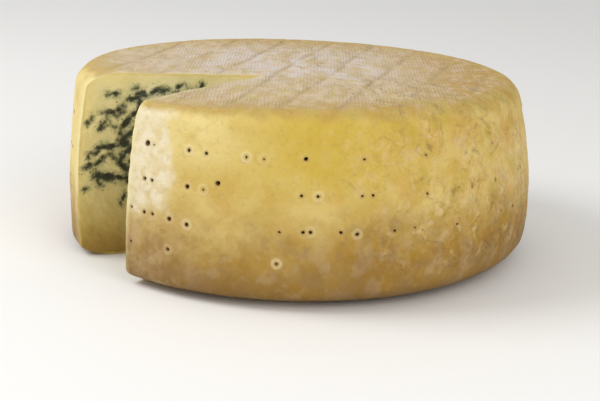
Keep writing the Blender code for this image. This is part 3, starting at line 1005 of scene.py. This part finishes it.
def wrinkles(graph):
    """Short, soft, slanting folds: (pale crests, painted shadow in the folds' hollows, their relief).
    """
    fold = graph.noise(0.0050, 2.0, 2.2, (1.0, 1.9, 1.0), (-38.0, 0.0), 0.5)
    across = graph.noise(0.0056, 2.0, 3.9, (1.0, 1.7, 1.0), (52.0, 0.0), 0.4)
    fold = fold.lay(graph.noise(0.018, 1.0, 5.1).ramp(0.46, 0.54), across)
    where = graph.noise(0.014, 3.0, 3.3).ramp(0.42, 0.60) * graph.read("wrinkle")
    return fold.ramp(0.49, 0.71) * where, fold.ramp(0.45, 0.26) * where, fold * where


def weave(graph):
    """The cloth's print: ribs that run one way, crossed by wider and weaker ones."""
    ribs = []
    for heading, period, share in ((RIB_HEADING - 90.0, 0.0021, 0.7), (RIB_HEADING, 0.0060, 0.45)):
        place = graph.measure("DOT_PRODUCT", graph.place, heading_vector(heading))
        phase = (place * (2.0 * math.pi / period)).sway(graph.noise(0.009, 3.0, 19.7), 9.0)
        ribs.append(graph.math("SINE", phase) * share)
    where = graph.noise(0.022, 3.0, 27.3).ramp(0.34, 0.62, 0.15, 1.0)
    where = where * graph.read("inset").ramp(5.0, 24.0)
    return (ribs[0] + ribs[1]) * where


def pricked(graph, colour, fine):
    """The colour with the needle holes laid on: pits in painted shade, of which some have a pale
    raised ring.
    """
    away = graph.measure("LENGTH", graph.read("to_hole", "Vector")).sway(fine, 1.6)
    ring = away.ramp(1.0, 2.1) * away.ramp(4.2, 2.2) * graph.read("hole_ring")
    colour = colour.lay(ring * 0.58, HOLE_RING)
    opened = graph.read("hole_open")
    shade = away.ramp(2.6, 1.0) * opened
    colour = colour.lay(shade * 0.45, HOLE_SHADE)
    # Painted shade deep in each open pit
    of_mouth = graph.math("DIVIDE", away, graph.math("MAXIMUM", opened, 0.4))
    pit_shade = of_mouth.ramp(1.60, 0.85) * opened.ramp(0.2, 0.9)
    return colour.lay(pit_shade * 0.85, HOLE_PIT_SHADE), ring


def rind_material():
    graph = Graph("natural_rind")
    broad = graph.noise(0.040, 3.0, 0.10)
    middle = graph.noise(0.013, 4.0, 0.40)
    fine = graph.noise(0.0038, 5.0, 0.70, rough=0.6)
    dust = graph.noise(0.0012, 3.0, 1.10, rough=0.65)
    level = graph.read("level")

    colour = side_colour(graph, fine, middle, broad)
    crest, trough_shade, folds = wrinkles(graph)
    # Painted shadow in the folds' hollows
    colour = colour.lay(trough_shade * 0.60, SIDE_TROUGH_SHADE)
    crest = crest * level.ramp(10.0, 60.0, 0.45, 1.0)
    colour = colour.lay(crest * 0.56, SIDE_CURL)
    ragged = graph.noise(0.012, 6.0, 4.2, rough=0.68).sway(fine, 0.5)
    bloom = (graph.read("bloom") + ragged - 0.5).ramp(0.08, 0.92)
    patchy = graph.noise(0.0065, 5.0, 17.3).sway(middle, 0.4).ramp(0.28, 0.64, 0.40, 1.0)
    colour = colour.lay(bloom * patchy, SIDE_BLOOM)
    dusting = fine.ramp(0.48, 0.72) * broad.ramp(0.38, 0.66)
    dusting = dusting * level.ramp(8.0, 60.0, 0.10, 0.28)
    colour = colour.lay(dusting, SIDE_CURL)
    colour = colour.lay(graph.patches(0.0030, 18.1, 0.52, 0.72, 0.16, 3.0), SIDE_BLOTCH)
    # Painted light: a cream band on the rind along the cut, widest on the left and fading towards the
    # foot
    lit_cut_edge = graph.read("lit_cut_edge").sway(middle, 6.0).ramp(11.0, 0.6)
    lit_cut_edge = lit_cut_edge * level.ramp(14.0, 56.0, 0.25, 1.0)
    colour = colour.lay(lit_cut_edge * 0.70, CUT_EDGE_LIGHT)

    ribs = weave(graph)
    tops, lines = top_colour(graph, middle, dust, ribs)
    is_top = graph.read("inset").sway(middle, 13.0).sway(fine, 6.0).ramp(-4.5, 4.0)
    colour = colour.lay(is_top, tops.lay(lit_cut_edge * 0.25, CUT_EDGE_LIGHT))
    colour, ring = pricked(graph, colour, fine)

    pits = graph.noise(0.0024, 2.0, 9.1).ramp(0.62, 0.72)
    height = fine * 0.6 + dust * 0.25 - pits * 0.15 + folds * 3.0 + ring * 0.4
    height = height - lines * is_top * 0.35 + ribs * is_top * 0.22
    return graph.shaded({
        "Base Color": colour,
        "Normal": graph.bump(height, 0.9),
        "Roughness": middle.ramp(0.3, 0.7, 0.60, 0.80),
        "Specular IOR Level": 0.30,
    })


def paste_material():
    graph = Graph("veined_paste")
    broad = graph.noise(0.020, 2.0, 0.2)
    middle = graph.noise(0.0085, 3.0, 5.9)
    fine = graph.noise(0.0030, 4.0, 0.9, rough=0.6)
    grain = graph.noise(0.0011, 3.0, 1.7, rough=0.6)
    vein = graph.read("vein")
    depth = graph.read("depth")
    level = graph.read("level")

    colour = graph.mix(broad.ramp(0.35, 0.65), PASTE_IVORY, PASTE_GREEN)
    colour = colour.lay(fine.ramp(0.45, 0.7) * 0.45, PASTE_LIGHT)
    # Painted shade, yellowed as by warm bounce light, far from the tip towards the rim
    far_shade = graph.read("from_tip").sway(broad, 26.0).ramp(52.0, 88.0)
    colour = colour.lay(far_shade * 0.80, PASTE_FAR_SHADE)
    tint = vein.ramp(8.0, 0.0) * graph.noise(0.008, 3.0, 2.9).ramp(0.38, 0.62)
    colour = colour.lay(tint * 0.60, PASTE_TINT)
    edge = depth.sway(broad, 8.0).ramp(14.0, 1.0)
    colour = colour.lay(edge * 0.65, PASTE_EDGE)
    # Painted shade deepening towards the bottom of the cut faces, strongest far from the tip
    shade_strength = far_shade.ramp(0.0, 1.0, 0.35, 0.90)
    low = level.sway(broad, 26.0).ramp(58.0, 14.0)
    colour = colour.lay(low * shade_strength, PASTE_LOW_SHADE)
    foot = level.sway(middle, 16.0).ramp(26.0, 0.0)
    colour = colour.lay(foot * shade_strength, PASTE_FOOT_SHADE)
    rind = depth.sway(fine, 1.6).ramp(1.8, 0.5)
    colour = colour.lay(rind * 0.6, PASTE_RIND)

    smear = graph.noise(0.0052, 3.0, 7.1, (1.0, 2.0, 1.0), (30.0, 0.0))
    ragged = vein.sway(fine, 6.0).sway(grain, 1.3).sway(smear, 6.0)
    colour = colour.lay(ragged.ramp(3.2, 0.0) * 0.58, VEIN_HALO)
    specks = graph.noise(0.0022, 3.0, 8.3).ramp(0.60, 0.68) * vein.ramp(5.0, 1.0)
    core = graph.math("MAXIMUM", ragged.ramp(1.1, -1.0), specks * 0.7)
    # Where the painted shade lies, the veins turn olive
    softer = graph.mix(far_shade, VEIN_BLUE, VEIN_OLIVE)
    dark = graph.mix(graph.noise(0.0045, 3.0, 3.9).ramp(0.40, 0.62), VEIN_DARK, softer)
    colour = colour.lay(core * 0.94, dark)
    slit = graph.read("slit").sway(fine, 1.8).ramp(0.5, -0.2)
    colour = colour.lay(slit * 0.8, SLIT_OLIVE)

    return graph.shaded({
        "Base Color": colour,
        "Normal": graph.bump(fine * 0.7 + grain * 0.3 - core * 0.7, 0.8),
        "Roughness": core.ramp(0.0, 1.0, 0.50, 0.85),
        "Specular IOR Level": 0.35,
        "Subsurface Weight": 0.15,
        "Subsurface Radius": (0.0030, 0.0024, 0.0012),
        "Subsurface Scale": 1.0,
    })


def floor_material():
    graph = Graph("pale_floor")
    colour = graph.mix(graph.noise(0.5, 2.0), FLOOR_GREY, FLOOR_LIGHT)
    return graph.shaded({"Base Color": colour, "Roughness": 0.7, "Specular IOR Level": 0.2})


def make_wheel():
    wheel = lofted_wheel("wheel_with_rind")
    cut(wheel, gap_cutter())
    cut(wheel, hole_cutter())
    mesh = wheel.data
    # As triangles, none of the quads that the cuts left dented folds over its edge
    edit_faces(mesh, bmesh.ops.triangulate, quad_method="BEAUTY", ngon_method="BEAUTY")
    mesh.materials.clear()
    mesh.materials.append(rind_material())
    mesh.materials.append(paste_material())
    mark_paste(mesh)
    add_place_attributes(mesh)
    add_hole_attribute(mesh)
    add_paste_attributes(mesh)
    mesh.shade_smooth()
    mesh.set_sharp_from_angle(angle=math.radians(SHARP_ANGLE))
    return wheel


def make_studio():
    world = bpy.data.worlds.new("studio")
    bpy.context.scene.world = world
    world.use_nodes = True
    background = world.node_tree.nodes["Background"]
    background.inputs["Color"].default_value = (1.0, 1.0, 1.0, 1.0)
    background.inputs["Strength"].default_value = SKY_STRENGTH
    for name, place, size, power in LIGHTS:
        data = bpy.data.lights.new(name, "AREA")
        data.shape = "DISK"
        data.size = size
        data.energy = power
        light = add_object(name, data)
        light.location = place
        aim = Vector(LIT_PLACE) - light.location
        light.rotation_euler = aim.to_track_quat("-Z", "Y").to_euler()

    reach = FLOOR_REACH
    corners = [(-reach, -reach, 0), (reach, -reach, 0), (reach, reach, 0), (-reach, reach, 0)]
    floor = mesh_object("studio_floor", corners, [(0, 1, 2, 3)])
    floor.data.materials.append(floor_material())
    bpy.context.scene.view_settings.view_transform = "Standard"


def make_camera():
    """The photograph's viewpoint: 56 degrees round from the gap and 14 degrees up."""
    data = bpy.data.cameras.new("camera")
    data.sensor_width = SENSOR_WIDTH
    data.lens = LENS
    camera = add_object("camera", data)
    right = Vector(CAMERA_RIGHT)
    up = Vector(CAMERA_UP)
    turn = Matrix((right, up, right.cross(up))).transposed()
    camera.matrix_world = Matrix.Translation(CAMERA_PLACE) @ turn.to_4x4()
    bpy.context.scene.camera = camera


def main():
    make_camera()
    make_studio()
    wheel = make_wheel()
    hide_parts("cheese_wheel")
    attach(wheel, "root")


main()
